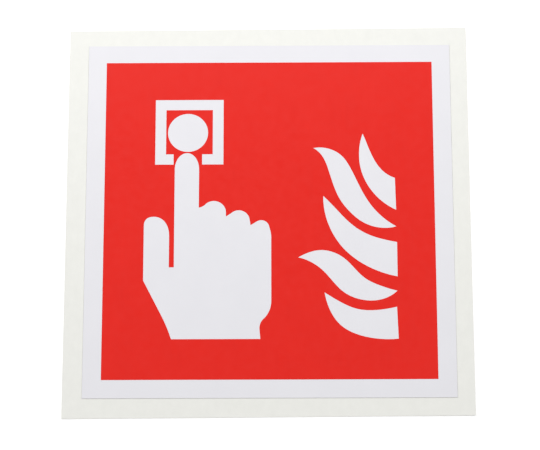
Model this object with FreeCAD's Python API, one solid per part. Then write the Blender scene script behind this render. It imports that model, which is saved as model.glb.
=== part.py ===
import FreeCAD, Part
import os

# A self-adhesive fire alarm call point sign, as it is supplied: a square label, kiss-cut and lying face up
# on its release liner.
#
# The label is white vinyl film with a pressure-sensitive adhesive under it and one red ink layer on it. The
# symbol isn't a piece of its own: the ink leaves it open, and the white film shows through. It is a hand
# whose finger presses the round button of a call point's square frame, with five flames beside it. The liner
# is paper with a film coat on each face, the upper one siliconised, so that the label peels off.
#
# Units are millimetres. +Z is up and out of the printed face, and +Y is towards the symbol's top. The origin
# is the centre of the liner's underside, which lies on the table.

Vector = FreeCAD.Vector

# Sizes in plan
LINER_SIDE = 110.0
LABEL_SIDE = 100.0
FIELD_SIDE = 90.0  # the red field, which leaves a white border all round
LINER_RISE = 0.6  # the liner's far and near edges aren't cut square: they climb by this from left to right
LABEL_CENTRE = Vector(0.3, 0.15, 0)  # the kiss-cut is a little off the liner's centre
KISS_CUT_WIDTH = 0.04  # the groove that the die leaves in the release coat

# Thicknesses of the layers, from the table upwards
BACK_COAT = 0.02
LINER_PAPER = 0.12
RELEASE_COAT = 0.02
ADHESIVE = 0.025
FILM = 0.10
INK = 0.02

# The symbol's call point, in plan, from the centre of the red field
FRAME_CENTRE = (-21.9, 24.7)
FRAME_OUTER = 18.7
FRAME_BAND = 2.95
FRAME_GAP = (-26.2, -18.4)  # the frame's lower bar is open between these, where the finger comes in
BUTTON_CENTRE = (-22.3, 24.5)
BUTTON_RADIUS = 5.5

# Lines that the hand shares between its runs
HAND_LEFT = -34.1
HAND_RIGHT = 0.5
HAND_BASE = -33.85
FINGER_LEFT = -25.85
FINGER_RIGHT = -19.2
FINGER_TIP = 18.65
THUMB_TIP = 0.45
THUMB_GAP_LEFT = -27.2  # the slot between thumb and finger runs from here to the finger
THUMB_GAP_END = -13.85

# The flames end on this line, towards the right of the field
FLAME_RIGHT = 34.6


class Outline:
    """A closed outline in plan, drawn from point to point."""

    def __init__(self, x, y):
        self.start = self.here = Vector(x, y, 0)
        self.edges = []

    def line(self, x, y):
        end = Vector(x, y, 0)
        self.edges.append(Part.makeLine(self.here, end))
        self.here = end
        return self

    def arc(self, through, end):
        """A circular arc through one point, to the end."""
        end = Vector(*end, 0)
        self.edges.append(Part.Arc(self.here, Vector(*through, 0), end).toShape())
        self.here = end
        return self

    def curve(self, *points):
        """One smooth curve through the points, to the last."""
        through = [self.here] + [Vector(x, y, 0) for x, y in points]
        spline = Part.BSplineCurve()
        spline.interpolate(through)
        self.edges.append(spline.toShape())
        self.here = through[-1]
        return self

    def bend(self, leaving_handle, arriving_handle, end):
        """A bend that leaves towards its first handle and arrives from its second."""
        bezier = Part.BezierCurve()
        poles = [Vector(x, y, 0) for x, y in (leaving_handle, arriving_handle, end)]
        bezier.setPoles([self.here, *poles])
        self.edges.append(bezier.toShape())
        self.here = poles[-1]
        return self

    def closed(self):
        if self.here.distanceToPoint(self.start) > 1e-6:
            self.line(self.start.x, self.start.y)
        return Part.Wire(self.edges)


def call_point_frame():
    """The call point's square frame: one band, open at the bottom for the finger."""
    left, right = (FRAME_CENTRE[0] + side * FRAME_OUTER / 2 for side in (-1, 1))
    low, high = (FRAME_CENTRE[1] + side * FRAME_OUTER / 2 for side in (-1, 1))
    gap_left, gap_right = FRAME_GAP
    outline = Outline(gap_left, low).line(left, low).line(left, high).line(right, high)
    outline.line(right, low).line(gap_right, low).line(gap_right, low + FRAME_BAND)
    outline.line(right - FRAME_BAND, low + FRAME_BAND).line(right - FRAME_BAND, high - FRAME_BAND)
    outline.line(left + FRAME_BAND, high - FRAME_BAND).line(left + FRAME_BAND, low + FRAME_BAND)
    return outline.line(gap_left, low + FRAME_BAND).closed()


def button():
    """The round button that the finger presses."""
    return Part.Wire(Part.makeCircle(BUTTON_RADIUS, Vector(*BUTTON_CENTRE, 0)))


def hand():
    """The hand: wrist, thumb, the pointing finger, then the three folded fingers."""
    outline = Outline(-2.45, HAND_BASE).line(-26.4, HAND_BASE)
    # the wrist's left side, and the ball of the thumb
    outline.curve((-27.3, -31.3), (-28.9, -27.7)).line(HAND_LEFT, -17.5)
    # the thumb
    outline.line(HAND_LEFT, -2.2).bend((HAND_LEFT, -0.4), (-33.2, THUMB_TIP), (-31.4, THUMB_TIP))
    outline.bend((-28.9, THUMB_TIP), (THUMB_GAP_LEFT, -1.8), (THUMB_GAP_LEFT, -5.0))
    outline.line(THUMB_GAP_LEFT, THUMB_GAP_END).line(FINGER_LEFT, THUMB_GAP_END)
    # the pointing finger
    outline.line(FINGER_LEFT, 14.0).bend((FINGER_LEFT, 16.6), (-24.3, FINGER_TIP), (-22.5, FINGER_TIP))
    outline.bend((-20.7, FINGER_TIP), (FINGER_RIGHT, 16.6), (FINGER_RIGHT, 14.0))
    outline.line(FINGER_RIGHT, 3.0)
    # the folded fingers, each a hollow and a knuckle
    outline.arc((-18.1, 3.4), (-17.2, 4.15)).arc((-14.2, 4.75), (-11.85, 2.2)).line(-11.8, 0.45)
    outline.arc((-10.75, 1.15), (-9.75, 1.85)).arc((-7.25, 2.0), (-5.45, 0.05)).line(-5.1, -2.05)
    outline.line(-3.35, -0.95).arc((-1.5, -0.75), (0.0, -2.6))
    outline.arc((0.42, -4.4), (HAND_RIGHT, -6.5))
    # the heel of the hand, and the wrist's right side
    outline.line(HAND_RIGHT, -23.2).arc((0.0, -25.9), (-1.3, -28.0)).arc((-2.4, -29.4), (-2.7, -31.0))
    return outline.closed()


def flames():
    """The five flames, from the top one down."""
    top = Outline(25.65, 24.1).curve((28.0, 18.1), (30.55, 13.85), (34.3, 11.3))
    top.line(FLAME_RIGHT - 0.1, 2.2).curve((30.1, 5.2), (26.35, 10.25), (24.6, 17.5))
    top.curve((24.8, 20.8), (25.65, 24.1))
    upper = Outline(12.1, 19.95)
    right_side = ((15.5, 19.95), (19.75, 17.8), (21.8, 14.95), (23.7, 11.0), (27.95, 3.25), (31.2, -0.2))
    left_side = ((30.5, -2.9), (25.3, -1.2), (22.05, 1.55), (19.6, 4.65), (16.2, 13.6), (14.2, 18.1))
    upper.curve(*right_side, (34.5, -2.5)).curve(*left_side, (12.1, 19.95))
    middle = Outline(14.7, 6.2)
    middle.curve((19.6, 0.9), (23.0, -2.4), (27.4, -5.0), (31.15, -6.2), (FLAME_RIGHT, -6.95))
    middle.line(FLAME_RIGHT, -16.6).curve((27.0, -13.95), (20.1, -8.7), (15.7, -0.8), (14.7, 6.2))
    lower = Outline(7.8, -11.2)
    lower.curve((10.4, -9.9), (14.0, -9.15), (20.0, -11.25), (25.9, -17.1), (29.8, -19.1), (34.5, -20.6))
    lower.curve((27.0, -23.3), (20.1, -20.95), (14.4, -14.8), (10.9, -12.3), (7.8, -11.2))
    bottom = Outline(14.85, -21.0).curve((20.0, -24.15), (23.8, -25.65), (27.5, -26.0), (34.3, -25.05))
    bottom.line(FLAME_RIGHT, -33.9).curve((26.0, -33.35), (19.0, -29.95), (15.35, -23.3), (14.85, -21.0))
    return [outline.closed() for outline in (top, upper, middle, lower, bottom)]


def layer(outlines, low, thickness):
    """A flat layer of one thickness, inside the first outline and open inside each of the others."""
    face = Part.makeFace(outlines, "Part::FaceMakerCheese")
    return face.extrude(Vector(0, 0, thickness)).translated(Vector(0, 0, low))


def liner_outline():
    """The liner's cut edge."""
    half, climb = LINER_SIDE / 2, LINER_RISE / 2
    outline = Outline(-half, -half - climb).line(half, -half + climb)
    return outline.line(half, half + climb).line(-half, half - climb).closed()


def square_on_label(side):
    """A square outline about the label's centre."""
    half = side / 2
    square = Outline(-half, -half).line(half, -half).line(half, half).line(-half, half).closed()
    return square.translated(LABEL_CENTRE)


def symbol():
    """The outlines of everything that the red ink leaves open."""
    return [shape.translated(LABEL_CENTRE) for shape in (call_point_frame(), button(), hand(), *flames())]


def release_coat(low):
    """The siliconised coat, parted by the kiss-cut into the square under the label and its margin."""
    under_label = layer([square_on_label(LABEL_SIDE)], low, RELEASE_COAT)
    kiss_cut = square_on_label(LABEL_SIDE + 2 * KISS_CUT_WIDTH)
    margin = layer([liner_outline(), kiss_cut], low, RELEASE_COAT)
    return Part.makeCompound([under_label, margin])


def layers():
    """Every node of the sign, stacked from the table upwards."""
    paper_low = BACK_COAT
    release_low = paper_low + LINER_PAPER
    adhesive_low = release_low + RELEASE_COAT
    film_low = adhesive_low + ADHESIVE
    ink_low = film_low + FILM
    return {
        "liner_back_coat": layer([liner_outline()], 0, BACK_COAT),
        "liner_paper": layer([liner_outline()], paper_low, LINER_PAPER),
        "liner_release_coat": release_coat(release_low),
        "adhesive_layer": layer([square_on_label(LABEL_SIDE)], adhesive_low, ADHESIVE),
        "face_film": layer([square_on_label(LABEL_SIDE)], film_low, FILM),
        "red_print": layer([square_on_label(FIELD_SIDE), *symbol()], ink_low, INK),
    }


def main():
    os.makedirs("parts", exist_ok=True)
    for name, shape in layers().items():
        shape.exportStep(f"parts/{name}.step")
        box = shape.BoundBox
        print(
            f"{name}: {len(shape.Solids)} solid(s), valid {shape.isValid()}, {shape.Volume:.1f} mm3,"
            f" {box.XLength:.2f} x {box.YLength:.2f} x {box.ZLength:.3f} at z {box.ZMin:.3f}"
        )


main()
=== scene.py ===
import math

import bpy
import numpy as np
from mathutils import Matrix, Vector
from mathutils.geometry import delaunay_2d_cdt


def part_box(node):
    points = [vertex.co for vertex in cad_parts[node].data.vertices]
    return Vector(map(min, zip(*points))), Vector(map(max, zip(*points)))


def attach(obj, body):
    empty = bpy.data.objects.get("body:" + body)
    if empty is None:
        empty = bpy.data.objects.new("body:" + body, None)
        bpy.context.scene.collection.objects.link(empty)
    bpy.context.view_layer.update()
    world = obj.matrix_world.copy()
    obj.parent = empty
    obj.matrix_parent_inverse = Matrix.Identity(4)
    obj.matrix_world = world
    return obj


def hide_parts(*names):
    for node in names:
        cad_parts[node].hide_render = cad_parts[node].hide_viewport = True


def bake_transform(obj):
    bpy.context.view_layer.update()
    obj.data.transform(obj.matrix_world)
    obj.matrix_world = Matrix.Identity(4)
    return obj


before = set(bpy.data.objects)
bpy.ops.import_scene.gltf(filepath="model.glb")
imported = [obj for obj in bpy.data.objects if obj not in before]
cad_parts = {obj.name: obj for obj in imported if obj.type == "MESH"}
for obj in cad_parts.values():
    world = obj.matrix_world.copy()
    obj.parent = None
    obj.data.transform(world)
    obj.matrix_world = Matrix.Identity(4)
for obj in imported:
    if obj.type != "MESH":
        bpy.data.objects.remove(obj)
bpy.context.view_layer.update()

# A self-adhesive call point sign on its release liner. Each CAD layer is a perfectly flat slab. The pieces
# made here are the same layers with the shapes of real film, ink and paper: cut edges, a scored liner,
# and corners that lift a little.

MM = 0.001

# How the layers lie. Everything rests on the table, and the corners stand a little off it.
CORNER_LIFT = {(-1, -1): 0.03 * MM, (1, -1): 0.09 * MM, (1, 1): 0.05 * MM, (-1, 1): 0.04 * MM}
CORNER_REACH = 26 * MM
UNDULATION = 0.025 * MM  # half the height of the faint waves all over the sheet
WAVE_ACROSS = 11 * MM  # the waves repeat after 2 pi times this from left to right
WAVE_ALONG = 14 * MM  # and after 2 pi times this from near to far

# The groove that the die leaves in the release coat, as wide as the CAD's
KISS_CUT_WIDTH = 0.04 * MM

# Along this much of its left side the label's meshes have their columns close together
ROLL_LENGTH = 12 * MM

# How far apart the meshes have their rows and columns
ROLL_STEP = 0.4 * MM  # along the label's left side, over ROLL_LENGTH
MARGIN_STEP = 1.2 * MM  # in the liner's margin, outside the kiss-cut
PLAIN_STEP = 2.5 * MM  # elsewhere

# The symbol's outline, as it is read from the CAD mesh and rounded
SAME_PLACE = 0.0001 * MM  # corners that round to the same multiples of this are one point
OUTLINE_STEP = 0.35 * MM
SHARP_CORNER = math.radians(22)  # the outline turns less than this at a point of a curved stretch
INK_SHOULDER = 0.05 * MM  # how far in the ink's edge is rounded
INK_CLEARANCE = 0.25 * MM  # between the outline and the ink mesh's inner points

# The camera, from the middle of the red field's upper face
CAMERA_PLACE = Vector((5.1, -187.5, 620.9)) * MM
CAMERA_AIM = Vector((0.18, -2.01, 0)) * MM
CAMERA_LENS = 159.07  # the focal length, and the sensor's width, are in a camera's own millimetres
CAMERA_SENSOR = 36
CAMERA_ROLL = math.radians(-1.67)

FLOOR_REACH = 3.0  # from the middle to each edge
FLOOR_TOP = -0.01 * MM  # just under the liner, so that the two faces don't share a plane


# ---------------------------------------------------------------- where the layers are

liner_low, liner_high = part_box("liner_paper")
label_low, label_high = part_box("face_film")
field_low, field_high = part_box("red_print")
LAYERS = ("liner_back_coat", "liner_paper", "liner_release_coat", "adhesive_layer", "face_film", "red_print")
LAYER_HEIGHTS = {node: (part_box(node)[0].z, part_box(node)[1].z) for node in LAYERS}
# The liner is as deep as it is wide, but its far and near edges climb a little from left to right, and that
# adds to the depth of its box
liner_side = liner_high.x - liner_low.x
liner_climb = (liner_high.y - liner_low.y - liner_side) / liner_side
liner_corner = Vector((liner_high.x, liner_side / 2))


def lift(x, y):
    """How far the sheet stands off the table at each point."""
    height = UNDULATION * (1 + np.sin(x / WAVE_ACROSS + 0.6) * np.cos(y / WAVE_ALONG - 0.4))
    for (side_x, side_y), amount in CORNER_LIFT.items():
        away = np.hypot(x - side_x * liner_corner.x, y - side_y * liner_corner.y)
        height = height + amount * np.clip(1 - away / CORNER_REACH, 0, 1) ** 2
    return height


# ---------------------------------------------------------------- mesh work

def spaced(low, high, step):
    """Evenly spaced values from low to high, about a step apart."""
    return np.linspace(low, high, max(2, round((high - low) / step) + 1))


def label_columns(low, high):
    """Where the label's meshes have their columns.

    They are close together along the label's left side, and in the same places in every layer.
    """
    roll_end = label_low.x + ROLL_LENGTH
    steps = round(ROLL_LENGTH / ROLL_STEP)
    rolling = [label_low.x + ROLL_STEP * k for k in range(steps + 1)]
    rolling = [x for x in rolling if x > low + 0.3 * ROLL_STEP]  # none closer than that to the first column
    flat = spaced(roll_end, high, PLAIN_STEP)[1:]
    return np.array([low, *rolling, *flat])


def without_unused(points, faces):
    """The points that the faces use, and the faces with those points' new numbers."""
    used = sorted({v for face in faces for v in face})
    place = {old: new for new, old in enumerate(used)}
    return points[used], [tuple(place[v] for v in face) for face in faces]


def grid(columns, rows, keep=None):
    """Plan points and faces of a grid, without the cells that keep turns down."""
    points = np.array([(x, y) for y in rows for x in columns])
    wide = len(columns)
    faces = []
    for j in range(len(rows) - 1):
        for i in range(wide - 1):
            middle = ((columns[i] + columns[i + 1]) / 2, (rows[j] + rows[j + 1]) / 2)
            if keep is None or keep(*middle):
                corner = j * wide + i
                faces.append((corner, corner + 1, corner + wide + 1, corner + wide))
    return without_unused(points, faces)


def boundary_loops(faces):
    """The open edges of a patch as closed loops of vertices, with the patch on the left."""
    edges = {(a, b) for face in faces for a, b in zip(face, face[1:] + face[:1])}
    following = {a: b for a, b in edges if (b, a) not in edges}
    loops = []
    while following:
        start, here = following.popitem()
        loop = [start]
        while here != start:
            loop.append(here)
            here = following.pop(here)
        loops.append(loop)
    return sorted(loops, key=lambda loop: min(loop))


def outward(loop_points, limit=3.5):
    """At each point of a loop, the step that moves both its edges out by one unit.

    At very sharp corners it is cut short, to the limit.
    """
    ahead = np.roll(loop_points, -1, 0) - loop_points
    ahead /= np.linalg.norm(ahead, axis=1)[:, None]
    normal_after = np.column_stack([ahead[:, 1], -ahead[:, 0]])
    normal_before = np.roll(normal_after, 1, 0)
    middle = normal_before + normal_after
    length = np.linalg.norm(middle, axis=1)
    middle /= length[:, None]
    return middle * np.minimum(2 / length, limit)[:, None]


def in_scene(name, data):
    """A new object in the scene, with this data."""
    made = bpy.data.objects.new(name, data)
    bpy.context.scene.collection.objects.link(made)
    return made


def build(name, body, material, points, faces, rim, top, bottom, shift=None):
    """A closed layer: a flat patch on top, its rim in (out, height) steps, and the same patch underneath.

    The shift function, where there is one, says how far each point moves in Y.
    """
    count = len(points)
    loops = boundary_loops(faces)
    vertices = [np.column_stack([points, np.full(count, top)])]
    under = count + len(rim) * sum(len(loop) for loop in loops)
    solid_faces = [tuple(face) for face in faces]
    solid_faces += [tuple(under + v for v in reversed(face)) for face in faces]
    total = count
    patch_edges = []
    for loop in loops:
        edge = points[loop]
        out = outward(edge)
        rings = [loop]
        for step, height in rim:
            vertices.append(np.column_stack([edge + out * step, np.full(len(loop), height)]))
            rings.append(list(range(total, total + len(loop))))
            total += len(loop)
        rings.append([under + v for v in loop])
        patch_edges += [rings[0], rings[-1]]
        for upper, lower in zip(rings, rings[1:]):
            for a in range(len(upper)):
                b = (a + 1) % len(upper)
                solid_faces.append((upper[a], lower[a], lower[b], upper[b]))
    vertices.append(np.column_stack([points, np.full(count, bottom)]))
    vertices = np.concatenate(vertices)
    if shift is not None:
        vertices[:, 1] += shift(vertices[:, 0], vertices[:, 1])
    vertices[:, 2] += lift(vertices[:, 0], vertices[:, 1])
    mesh = bpy.data.meshes.new(name)
    mesh.from_pydata(vertices.tolist(), [], solid_faces)
    mesh.validate()
    mesh.update()
    mesh.shade_smooth()
    sharp_edges = {frozenset(pair) for loop in patch_edges for pair in zip(loop, loop[1:] + loop[:1])}
    for edge in mesh.edges:
        edge.use_edge_sharp = frozenset(edge.vertices) in sharp_edges
    mesh.materials.append(material)
    piece = in_scene(name, mesh)
    if body == "label":
        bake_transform(piece)
    else:
        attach(piece, body)
    return piece


# ---------------------------------------------------------------- materials

def shader(name, **values):
    """A new material and the Principled shader that it ends in, with its plain values set."""
    material = bpy.data.materials.new(name)
    material.use_nodes = True
    principled = material.node_tree.nodes["Principled BSDF"]
    for socket, value in values.items():
        principled.inputs[socket.replace("_", " ")].default_value = value
    return material, principled


class Nodes:
    """Short forms for the nodes that the materials share. Scales are in cells per millimetre."""

    def __init__(self, material, principled):
        self.tree = material.node_tree
        self.principled = principled
        self.place = self.add("ShaderNodeTexCoord").outputs["Object"]

    def add(self, kind, **settings):
        node = self.tree.nodes.new(kind)
        for key, value in settings.items():
            setattr(node, key, value)
        return node

    def link(self, source, target):
        self.tree.links.new(source, target)

    def into(self, name, source):
        """Feeds one of the Principled shader's sockets."""
        self.link(source, self.principled.inputs[name])

    def stretched(self, x, y, z):
        """The place on the sheet, scaled along each axis."""
        mapping = self.add("ShaderNodeMapping")
        mapping.inputs["Scale"].default_value = (x / MM, y / MM, z / MM)
        self.link(self.place, mapping.inputs["Vector"])
        return mapping.outputs["Vector"]

    def noise(self, x, y=None, z=None, detail=3.0, roughness=0.5):
        """Cloudy noise, mostly between 0.3 and 0.7. With x alone, it is equally fine along every axis."""
        texture = self.add("ShaderNodeTexNoise")
        texture.inputs["Scale"].default_value = 1.0
        texture.inputs["Detail"].default_value = detail
        texture.inputs["Roughness"].default_value = roughness
        self.link(self.stretched(x, x if y is None else y, x if z is None else z), texture.inputs["Vector"])
        return texture.outputs["Fac"]

    def cells(self, x, y, z):
        """The distance to the nearest of many scattered cell centres."""
        texture = self.add("ShaderNodeTexVoronoi")
        texture.inputs["Scale"].default_value = 1.0
        self.link(self.stretched(x, y, z), texture.inputs["Vector"])
        return texture.outputs["Distance"]

    def spread(self, value, to_low=0, to_high=1):
        """The usual range of a noise, 0.3 to 0.7, spread over another range."""
        return self.ranged(value, 0.3, 0.7, to_low, to_high)

    def ranged(self, value, low, high, to_low, to_high):
        """A value between low and high, mapped evenly between two others."""
        node = self.add("ShaderNodeMapRange")
        for key, number in (("From Min", low), ("From Max", high), ("To Min", to_low), ("To Max", to_high)):
            node.inputs[key].default_value = number
        self.link(value, node.inputs["Value"])
        return node.outputs["Result"]

    def mixed(self, factor, first, second):
        """A colour between two others, which are plain colours or other nodes' outputs."""
        node = self.add("ShaderNodeMix", data_type="RGBA")
        self.link(factor, node.inputs["Factor"])
        for index, colour in ((6, first), (7, second)):  # the node's colour inputs, A and B
            if isinstance(colour, tuple):
                node.inputs[index].default_value = (*colour, 1)
            else:
                self.link(colour, node.inputs[index])
        return node.outputs[2]  # its colour output

    def raised(self, height, strength, distance, below=None):
        """A bump of this height, on top of another one where there is one below."""
        bump = self.add("ShaderNodeBump")
        bump.inputs["Strength"].default_value = strength
        bump.inputs["Distance"].default_value = distance
        self.link(height, bump.inputs["Height"])
        if below is not None:
            self.link(below, bump.inputs["Normal"])
        return bump.outputs["Normal"]


def white_film():
    """Calendered white vinyl: satin, with the faint orange peel and long gentle waves of the calender."""
    material, principled = shader("white_vinyl_film", IOR=1.46)
    nodes = Nodes(material, principled)
    clouds = nodes.spread(nodes.noise(0.09, detail=4))
    nodes.into("Base Color", nodes.mixed(clouds, (0.743, 0.737, 0.771), (0.760, 0.754, 0.787)))
    nodes.into("Roughness", nodes.spread(nodes.noise(0.35, detail=5), 0.30, 0.38))
    waves = nodes.raised(nodes.noise(0.05, 0.14, 0.1, detail=1), 0.35, 0.06 * MM)
    peel = nodes.raised(nodes.noise(1.6, detail=2), 0.35, 0.008 * MM, waves)
    nodes.into("Normal", nodes.raised(nodes.noise(9.0, detail=2), 0.25, 0.002 * MM, peel))
    return material


def red_ink():
    """Screen-printed red: an even satin coat.

    It shows the mesh that it was pushed through and the pull of the squeegee.
    """
    material, principled = shader("red_screen_ink", IOR=1.46, Specular_IOR_Level=0.35)
    nodes = Nodes(material, principled)
    density = nodes.spread(nodes.noise(0.12, detail=5, roughness=0.6))
    pull = nodes.spread(nodes.noise(0.9, 0.012, 0.5, detail=3))
    base = nodes.mixed(density, (0.715, 0.0112, 0.0050), (0.754, 0.0134, 0.0062))
    nodes.into("Base Color", nodes.mixed(pull, base, (0.737, 0.0123, 0.0056)))
    nodes.into("Roughness", nodes.spread(nodes.noise(0.5, detail=5), 0.30, 0.40))
    levelled = nodes.raised(nodes.noise(0.5, detail=3), 0.3, 0.012 * MM)
    nodes.into("Normal", nodes.raised(nodes.cells(7.0, 7.0, 0.5), 0.3, 0.003 * MM, levelled))
    return material


def release_coat():
    """Siliconised film on cream paper: the paper's cloudy formation shows through a slick satin face."""
    material, principled = shader("siliconised_liner_face", IOR=1.43)
    nodes = Nodes(material, principled)
    formation = nodes.spread(nodes.noise(0.45, 0.30, 0.4, detail=6, roughness=0.62))
    nodes.into("Base Color", nodes.mixed(formation, (0.778, 0.778, 0.738), (0.807, 0.807, 0.766)))
    nodes.into("Roughness", nodes.spread(nodes.noise(0.3, detail=4), 0.30, 0.42))
    fibres = nodes.raised(nodes.noise(2.2, 0.7, 1.5, detail=4, roughness=0.6), 0.3, 0.010 * MM)
    nodes.into("Normal", nodes.raised(nodes.noise(0.08, detail=1), 0.3, 0.08 * MM, fibres))
    return material


def liner_paper():
    """Bleached kraft, seen only at the cut edge and in the score: soft, with fibre ends."""
    material, principled = shader("bleached_kraft", IOR=1.4)
    nodes = Nodes(material, principled)
    fibres = nodes.spread(nodes.noise(6.0, 6.0, 14.0, detail=5, roughness=0.65))
    nodes.into("Base Color", nodes.mixed(fibres, (0.70, 0.68, 0.61), (0.82, 0.81, 0.75)))
    nodes.into("Roughness", nodes.ranged(fibres, 0, 1, 0.80, 0.92))
    nodes.into("Normal", nodes.raised(fibres, 0.5, 0.01 * MM))
    return material


def back_coat():
    """The liner's underside: matt film over paper, with the formation showing."""
    material, principled = shader("liner_back_film", IOR=1.45)
    nodes = Nodes(material, principled)
    formation = nodes.spread(nodes.noise(0.35, 0.22, 0.3, detail=6, roughness=0.65))
    nodes.into("Base Color", nodes.mixed(formation, (0.775, 0.768, 0.718), (0.815, 0.808, 0.762)))
    nodes.into("Roughness", nodes.spread(nodes.noise(1.5, detail=4), 0.52, 0.66))
    nodes.into("Normal", nodes.raised(nodes.noise(3.0, 1.1, 2.0, detail=4), 0.4, 0.012 * MM))
    return material


def adhesive():
    """Clear acrylic adhesive on white film: satin, with the faint ripples that the liner leaves in it."""
    material, principled = shader("acrylic_adhesive", IOR=1.47)
    nodes = Nodes(material, principled)
    clouds = nodes.spread(nodes.noise(0.15, detail=4))
    nodes.into("Base Color", nodes.mixed(clouds, (0.712, 0.705, 0.670), (0.728, 0.722, 0.690)))
    nodes.into("Roughness", nodes.ranged(clouds, 0, 1, 0.32, 0.38))
    nodes.into("Normal", nodes.raised(nodes.noise(0.25, 0.7, 0.5, detail=2), 0.2, 0.01 * MM))
    return material


def pale_floor():
    """A plain pale table top with a barely visible grain, and a little light of its own to keep it white."""
    glow = {"Emission_Color": (1, 1, 1, 1), "Emission_Strength": 0.15}
    material, principled = shader("pale_floor", Specular_IOR_Level=0.2, **glow)
    nodes = Nodes(material, principled)
    grain = nodes.spread(nodes.noise(0.02, detail=5))
    nodes.into("Base Color", nodes.mixed(grain, (0.97, 0.97, 0.97), (0.985, 0.985, 0.985)))
    nodes.into("Roughness", nodes.ranged(grain, 0, 1, 0.85, 0.95))
    return material


# ---------------------------------------------------------------- the liner

def out_of_square(x, y):
    """The liner's far and near edges climb from left to right, and the middle of the sheet doesn't."""
    inside = label_high.y + 1.0 * MM  # clear of the label and the kiss-cut
    share = np.clip((np.abs(y) - inside) / (liner_side / 2 - inside), 0, 1)
    return liner_climb * x * share


def cut_rim(top, bottom, soft, burr=0.006 * MM):
    """A cut edge: the upper corner rounded by the blade's entry, the lower one nearly sharp."""
    drop = min(soft, 0.4 * (top - bottom))
    return [
        (0.6 * soft, top - 0.2 * drop),
        (soft, top - drop),
        (soft, bottom + 0.3 * burr),
        (0.8 * soft, bottom),
    ]


def make_liner():
    """The back coat and the paper, each one whole sheet."""
    soft = 0.02 * MM
    lines = spaced(liner_low.x + soft, liner_high.x - soft, PLAIN_STEP)
    for node, slot, material in (
        ("liner_back_coat", "liner_back", back_coat()),
        ("liner_paper", "liner_paper", liner_paper()),
    ):
        low, high = LAYER_HEIGHTS[node]
        points, faces = grid(lines, lines)
        rim = cut_rim(high, low, soft)
        piece = build(
            node + "_sheet", "liner", material, points, faces, rim, high, low, out_of_square
        )
        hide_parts(node)


def make_release_coat():
    """The upper coat, parted by the kiss-cut round the label."""
    low, high = LAYER_HEIGHTS["liner_release_coat"]
    soft = 0.012 * MM
    outer = liner_side / 2 - soft
    away = KISS_CUT_WIDTH + soft
    left, right = label_low.x - away, label_high.x + away
    near, far = label_low.y - away, label_high.y + away

    def across(cut_low, cut_high):
        """Rows or columns from edge to edge of the liner, with one on each side of the kiss-cut."""
        before = spaced(-outer, cut_low, MARGIN_STEP)
        between = spaced(cut_low, cut_high, PLAIN_STEP)
        after = spaced(cut_high, outer, MARGIN_STEP)
        return np.concatenate([before, between[1:], after[1:]])

    def in_margin(x, y):
        return not (left < x < right and near < y < far)

    material = release_coat()
    rim = cut_rim(high, low, soft)
    points, faces = grid(across(left, right), across(near, far), in_margin)
    margin = build(
        "liner_release_margin", "liner", material, points, faces, rim, high, low, out_of_square
    )
    inside_columns = spaced(label_low.x + soft, label_high.x - soft, PLAIN_STEP)
    inside_rows = spaced(label_low.y + soft, label_high.y - soft, PLAIN_STEP)
    points, faces = grid(inside_columns, inside_rows)
    panel = build("liner_release_panel", "liner", material, points, faces, rim, high, low)
    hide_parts("liner_release_coat")
    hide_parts("liner_release_coat")


# ---------------------------------------------------------------- the label

def make_label_layers():
    """The adhesive and the white film, cut to one outline."""
    soft = 0.03 * MM
    rows = spaced(label_low.y + soft, label_high.y - soft, PLAIN_STEP)
    columns = label_columns(label_low.x + soft, label_high.x - soft)
    for node, slot, material in (
        ("adhesive_layer", "adhesive", adhesive()),
        ("face_film", "white_film", white_film()),
    ):
        low, high = LAYER_HEIGHTS[node]
        points, faces = grid(columns, rows)
        rim = cut_rim(high, low, soft)
        piece = build(node + "_sheet", "label", material, points, faces, rim, high, low)
        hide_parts(node)


def symbol_loops():
    """The outlines in plan of the CAD ink layer, with the ink on the left of each."""
    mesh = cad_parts["red_print"].data
    heights = np.array([v.co.z for v in mesh.vertices])
    top = heights.max()
    places = {}
    faces = []
    for polygon in mesh.polygons:
        if all(top - heights[v] < 0.001 * MM for v in polygon.vertices):
            corners = [mesh.vertices[v].co for v in polygon.vertices]
            keys = [(round(corner.x / SAME_PLACE), round(corner.y / SAME_PLACE)) for corner in corners]
            faces.append(tuple(places.setdefault(key, len(places)) for key in keys))
    points = np.array(list(places), float) * SAME_PLACE
    return [points[loop] for loop in boundary_loops(faces)]


def smoothed(loop):
    """The loop with its curved stretches rounded between the CAD's points, and with its corners kept."""
    before = loop - np.roll(loop, 1, 0)
    after = np.roll(loop, -1, 0) - loop
    across = before[:, 0] * after[:, 1] - before[:, 1] * after[:, 0]
    along = (before * after).sum(1)
    sharp = np.abs(np.arctan2(across, along)) > SHARP_CORNER
    rounded = []
    count = len(loop)
    for here in range(count):
        there = (here + 1) % count
        start, end = loop[here], loop[there]
        chord = end - start
        leave = chord if sharp[here] else (end - loop[here - 1]) / 2
        arrive = chord if sharp[there] else (loop[(there + 1) % count] - start) / 2
        size = np.linalg.norm(chord)
        leave = leave / np.linalg.norm(leave) * size
        arrive = arrive / np.linalg.norm(arrive) * size
        pieces = max(1, math.ceil(size / OUTLINE_STEP))
        for k in range(pieces):
            t = k / pieces
            rounded.append(
                (2 * t**3 - 3 * t**2 + 1) * start + (t**3 - 2 * t**2 + t) * leave
                + (3 * t**2 - 2 * t**3) * end + (t**3 - t**2) * arrive
            )
    return np.array(rounded)


def inside_loops(points, loops):
    """Which points the ink covers: those with an odd number of outlines to their right."""
    odd = np.zeros(len(points), bool)
    x, y = points[:, 0], points[:, 1]
    for loop in loops:
        for (x1, y1), (x2, y2) in zip(loop, np.roll(loop, -1, 0)):
            spans = (y1 > y) != (y2 > y)
            if spans.any():
                crossing = x1 + (y - y1) * (x2 - x1) / (y2 - y1 if y2 != y1 else 1)
                odd ^= spans & (x < crossing)
    return odd


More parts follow.
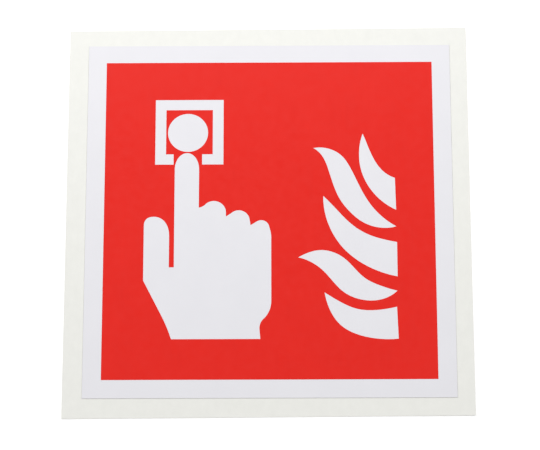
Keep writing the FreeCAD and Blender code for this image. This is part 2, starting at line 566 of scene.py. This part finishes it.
def make_ink():
    """The red layer. Its outlines are the CAD's, and its edge is raised where the stencil held the ink."""
    low, high = LAYER_HEIGHTS["red_print"]
    loops = [smoothed(loop) for loop in symbol_loops()]
    inner = [loop - outward(loop) * INK_SHOULDER for loop in loops]
    columns = label_columns(field_low.x, field_high.x)[1:-1]
    rows = spaced(field_low.y, field_high.y, PLAIN_STEP)[1:-1]
    mid = np.array([(x, y) for y in rows for x in columns])
    outline = np.concatenate(inner)
    clear = np.array([np.hypot(*(outline - p).T).min() > INK_CLEARANCE for p in mid])
    mid = mid[clear & inside_loops(mid, inner)]
    points = [Vector(p) / MM for p in np.concatenate([outline, mid])]
    edges = []
    first = 0
    for loop in inner:
        size = len(loop)
        edges += [(first + k, first + (k + 1) % size) for k in range(size)]
        first += size
    only_inside = 1  # of the kinds of output, the triangles inside the edges
    tolerance = 1e-7
    made, _, triangles, *_ = delaunay_2d_cdt(points, edges, [], only_inside, tolerance)
    made = np.array([tuple(p) for p in made]) * MM
    centres = np.array([made[list(t)].mean(0) for t in triangles])
    keep = inside_loops(centres, inner)
    faces = [tuple(t) for t, kept in zip(triangles, keep) if kept]
    made, faces = without_unused(made, faces)
    a, b, c = (made[[face[k] for face in faces]] for k in range(3))
    area = (b[:, 0] - a[:, 0]) * (c[:, 1] - a[:, 1]) - (b[:, 1] - a[:, 1]) * (c[:, 0] - a[:, 0])
    faces = [face if area[k] > 0 else face[::-1] for k, face in enumerate(faces)]
    rim = [
        (0.4 * INK_SHOULDER, high + 0.003 * MM),
        (0.8 * INK_SHOULDER, high - 0.002 * MM),
        (INK_SHOULDER, low + 0.3 * (high - low)),
        (INK_SHOULDER, low),
    ]
    piece = build("red_ink_field", "label", red_ink(), made, faces, rim, high, low)
    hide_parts("red_print")


# ---------------------------------------------------------------- camera, light and floor

def make_camera():
    """The camera looks down at the sign from the near side, a little to the right, and slightly tipped."""
    centre = Vector(((field_low.x + field_high.x) / 2, (field_low.y + field_high.y) / 2, field_high.z))
    place = centre + CAMERA_PLACE
    aim = centre + CAMERA_AIM
    data = bpy.data.cameras.new("camera")
    data.sensor_width = CAMERA_SENSOR
    data.lens = CAMERA_LENS
    camera = in_scene("camera", data)
    turn = (aim - place).to_track_quat("-Z", "Y").to_matrix().to_4x4()
    camera.matrix_world = Matrix.Translation(place) @ turn @ Matrix.Rotation(CAMERA_ROLL, 4, "Z")
    bpy.context.scene.camera = camera


def soft_light(name, place, width, height, power):
    """A soft box that the camera doesn't see, aimed at the sign. Lengths are in metres, power in watts."""
    data = bpy.data.lights.new(name, "AREA")
    data.shape = "RECTANGLE"
    data.size = width
    data.size_y = height
    data.energy = power
    light = in_scene(name, data)
    light.location = place
    light.visible_camera = False
    light.rotation_euler = (-Vector(place)).to_track_quat("-Z", "Y").to_euler()


def make_studio():
    """The table top, a low soft box beyond the sign, one on each side of it, and an even white surround."""
    mesh = bpy.data.meshes.new("floor")
    corners = [(-FLOOR_REACH, -FLOOR_REACH), (FLOOR_REACH, -FLOOR_REACH)]
    corners += [(FLOOR_REACH, FLOOR_REACH), (-FLOOR_REACH, FLOOR_REACH)]
    mesh.from_pydata([(x, y, FLOOR_TOP) for x, y in corners], [], [(0, 1, 2, 3)])
    mesh.materials.append(pale_floor())
    floor = in_scene("floor", mesh)
    soft_light("far_soft_box", (-0.03, 0.27, 0.24), width=0.36, height=0.16, power=0.55)
    soft_light("left_soft_box", (-0.60, 0.14, 0.60), width=0.5, height=0.5, power=2.3)
    soft_light("right_soft_box", (0.60, 0.14, 0.60), width=0.5, height=0.5, power=2.3)
    world = bpy.data.worlds.new("studio")
    world.use_nodes = True
    background = world.node_tree.nodes["Background"]
    background.inputs["Color"].default_value = (1, 1, 1, 1)
    background.inputs["Strength"].default_value = 0.47
    scene = bpy.context.scene
    scene.world = world
    scene.view_settings.view_transform = "Standard"
    scene.view_settings.look = "None"


make_liner()
make_release_coat()
make_label_layers()
make_ink()
make_camera()
make_studio()
